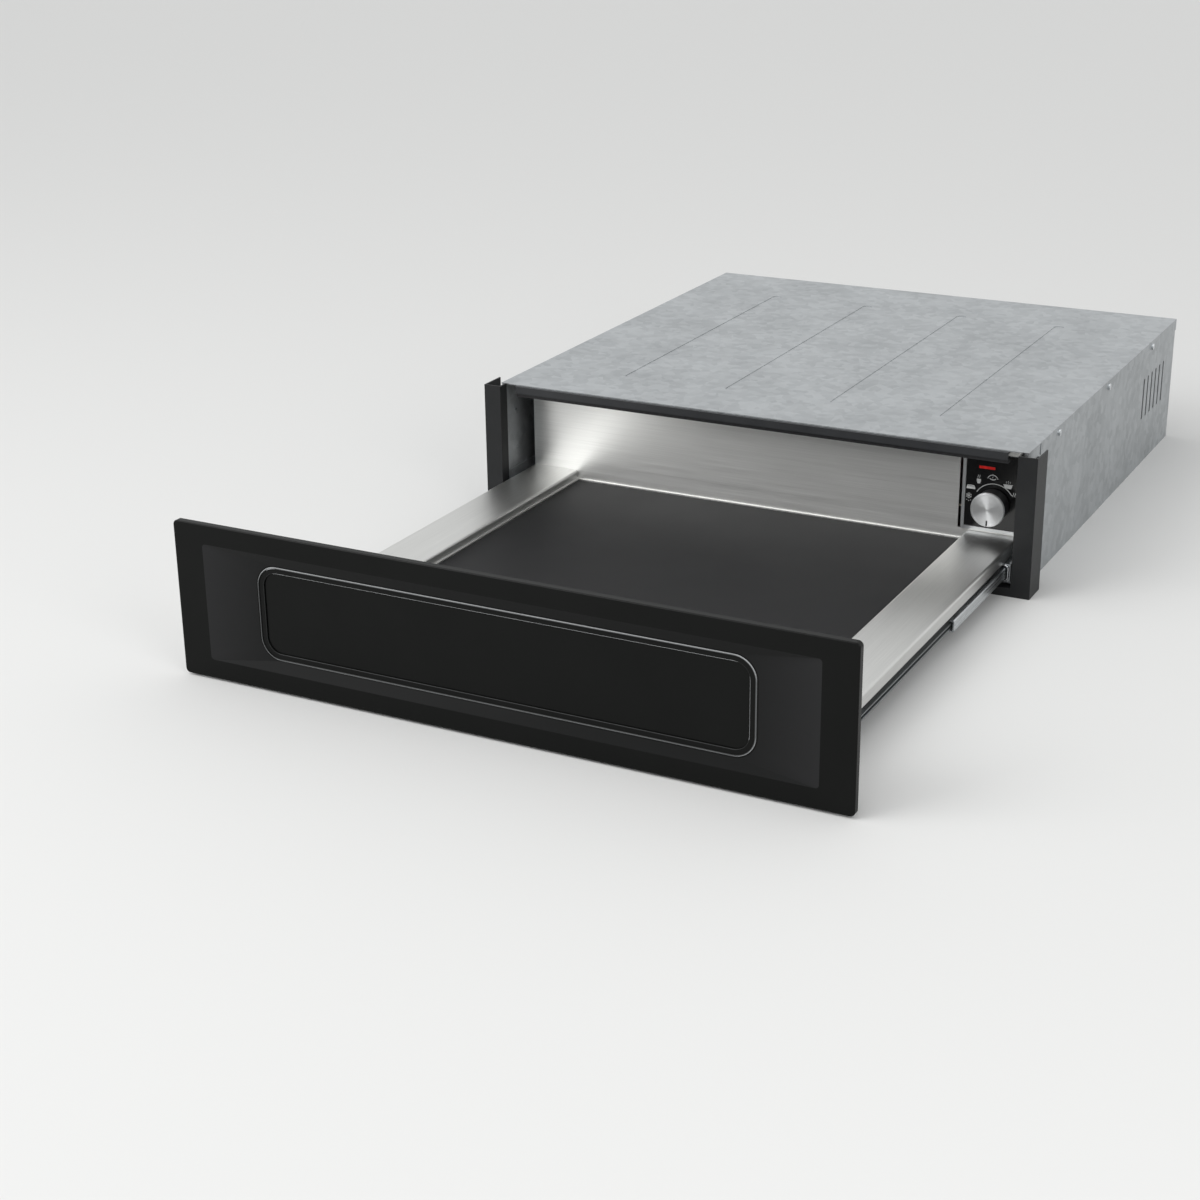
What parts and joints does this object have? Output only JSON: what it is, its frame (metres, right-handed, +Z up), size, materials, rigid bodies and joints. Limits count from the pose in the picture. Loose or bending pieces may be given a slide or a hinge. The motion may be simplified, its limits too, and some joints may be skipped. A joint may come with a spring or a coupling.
{
  "type": "built-in warming drawer",
  "caption": "Built-in warming drawer with a bevelled front with a rimmed field, glass base, ball slides, control knob and a housing for a cabinet niche.",
  "frame": {"origin": "centre of the underside of the housing, on the floor of the cabinet niche", "axes": "+Z up, +X to the right seen from the front, +Y from the front to the back; the drawer opens along -Y and is stored open"},
  "size_m": [0.597, 1.032, 0.137],
  "materials": {
    "galvanised_sheet": "galvanised steel sheet, dull",
    "frame_coating": "dark grey powder coat, satin",
    "rail_coating": "grey powder coat, satin",
    "front_coating": "near-black coat with a fine grain, satin",
    "grey_coating": "grey coated sheet",
    "stainless_sheet": "brushed stainless sheet",
    "zinc_plated_steel": "bright zinc plating",
    "cage_steel": "plain pressed steel",
    "bearing_steel": "polished balls",
    "rubber_seal": "black silicone",
    "grey_glass": "dark grey toughened glass, faintly patterned",
    "heater_sheath": "heat-tinted steel sheath",
    "polished_reflector": "bright sheet",
    "mineral_wool": "pressed wool board",
    "white_ceramic": "off-white ceramic and moulding compound",
    "gloss_black": "black, glossy",
    "anodised_aluminium": "satin anodised",
    "red_lens": "dark red, clear",
    "black_plastic": "black, fine grain",
    "fan_sheet": "thin pressed sheet",
    "laminations": "varnished laminations",
    "copper_winding": "enamelled wire",
    "grey_plastic": "light grey",
    "screw_steel": "zinc-plated"
  },
  "bodies": {
    "housing": {"housing_shell": "galvanised_sheet", "housing_lid": "galvanised_sheet", "housing_back": "galvanised_sheet", "left_upright": "frame_coating", "right_upright": "frame_coating", "top_rail": "rail_coating", "top_seal": "rubber_seal", "bottom_rail": "frame_coating", "slide_mounts": "galvanised_sheet", "slide_outer_left": "zinc_plated_steel", "slide_outer_right": "zinc_plated_steel", "latch_body": "black_plastic", "terminal_block": "white_ceramic", "cord_gland": "black_plastic", "housing_screws": "screw_steel"},
    "drawer": {"slide_inner_left": "zinc_plated_steel", "slide_inner_right": "zinc_plated_steel", "slide_spacers": "cage_steel", "front_panel": "front_coating", "front_carrier": "grey_coating", "front_liner": "stainless_sheet", "front_buffers": "rubber_seal", "drawer_pan": "galvanised_sheet", "left_flange": "stainless_sheet", "right_flange": "stainless_sheet", "glass_base": "grey_glass", "glass_seal": "rubber_seal", "glass_ledge": "galvanised_sheet", "heating_element": "heater_sheath", "reflector": "polished_reflector", "insulation": "mineral_wool", "safety_cutout": "white_ceramic", "rear_wall": "stainless_sheet", "rear_cover": "galvanised_sheet", "control_bracket": "galvanised_sheet", "control_fascia": "gloss_black", "fascia_trim": "anodised_aluminium", "pilot_lens": "red_lens", "thermostat": "white_ceramic", "fan_scroll": "galvanised_sheet", "motor_stator": "laminations", "motor_coil": "copper_winding", "bearing_plates": "galvanised_sheet", "latch_striker": "black_plastic", "front_screws": "screw_steel"},
    "knob": {"thermostat_shaft": "anodised_aluminium", "knob_barrel": "black_plastic", "knob_cap": "anodised_aluminium"},
    "fan": {"fan_rotor": "fan_sheet"},
    "plunger": {"latch_plunger": "grey_plastic"},
    "middle_left": {"slide_middle_left": "zinc_plated_steel"},
    "outer_race_left": {"outer_cage_left": "cage_steel", "outer_balls_left": "bearing_steel"},
    "inner_race_left": {"inner_cage_left": "cage_steel", "inner_balls_left": "bearing_steel"},
    "middle_right": {"slide_middle_right": "zinc_plated_steel"},
    "outer_race_right": {"outer_cage_right": "cage_steel", "outer_balls_right": "bearing_steel"},
    "inner_race_right": {"inner_cage_right": "cage_steel", "inner_balls_right": "bearing_steel"}
  },
  "joints": [
    {"name": "drawer_slide", "type": "slide", "parent": "housing", "child": "drawer", "axis": [0, 1, 0], "range_m": [0, 0.45]},
    {"name": "knob_turn", "type": "hinge", "parent": "drawer", "child": "knob", "pos_m": [0.229, -0.225, 0.068], "axis": [0, 1, 0], "range_deg": [0, 270]},
    {"name": "fan_spin", "type": "hinge", "parent": "drawer", "child": "fan", "pos_m": [-0.032, -0.2052, 0.098], "axis": [1, 0, 0], "continuous": true},
    {"name": "latch_press", "type": "slide", "parent": "housing", "child": "plunger", "axis": [0, 1, 0], "range_m": [0, 0.003], "stiffness_N_per_m": 1500},
    {"name": "middle_left_slide", "type": "slide", "parent": "housing", "child": "middle_left", "axis": [0, 1, 0], "range_m": [0, 0.1445]},
    {"name": "outer_race_left_slide", "type": "slide", "parent": "housing", "child": "outer_race_left", "axis": [0, 1, 0], "range_m": [0, 0.0725]},
    {"name": "inner_race_left_slide", "type": "slide", "parent": "housing", "child": "inner_race_left", "axis": [0, 1, 0], "range_m": [0, 0.2975]},
    {"name": "middle_right_slide", "type": "slide", "parent": "housing", "child": "middle_right", "axis": [0, 1, 0], "range_m": [0, 0.1445]},
    {"name": "outer_race_right_slide", "type": "slide", "parent": "housing", "child": "outer_race_right", "axis": [0, 1, 0], "range_m": [0, 0.0725]},
    {"name": "inner_race_right_slide", "type": "slide", "parent": "housing", "child": "inner_race_right", "axis": [0, 1, 0], "range_m": [0, 0.2975]}
  ],
  "couplings": [
    {"joint": "middle_left_slide", "follows": "drawer_slide", "ratio": 0.32},
    {"joint": "outer_race_left_slide", "follows": "drawer_slide", "ratio": 0.16},
    {"joint": "inner_race_left_slide", "follows": "drawer_slide", "ratio": 0.66},
    {"joint": "middle_right_slide", "follows": "drawer_slide", "ratio": 0.32},
    {"joint": "outer_race_right_slide", "follows": "drawer_slide", "ratio": 0.16},
    {"joint": "inner_race_right_slide", "follows": "drawer_slide", "ratio": 0.66}
  ]
}
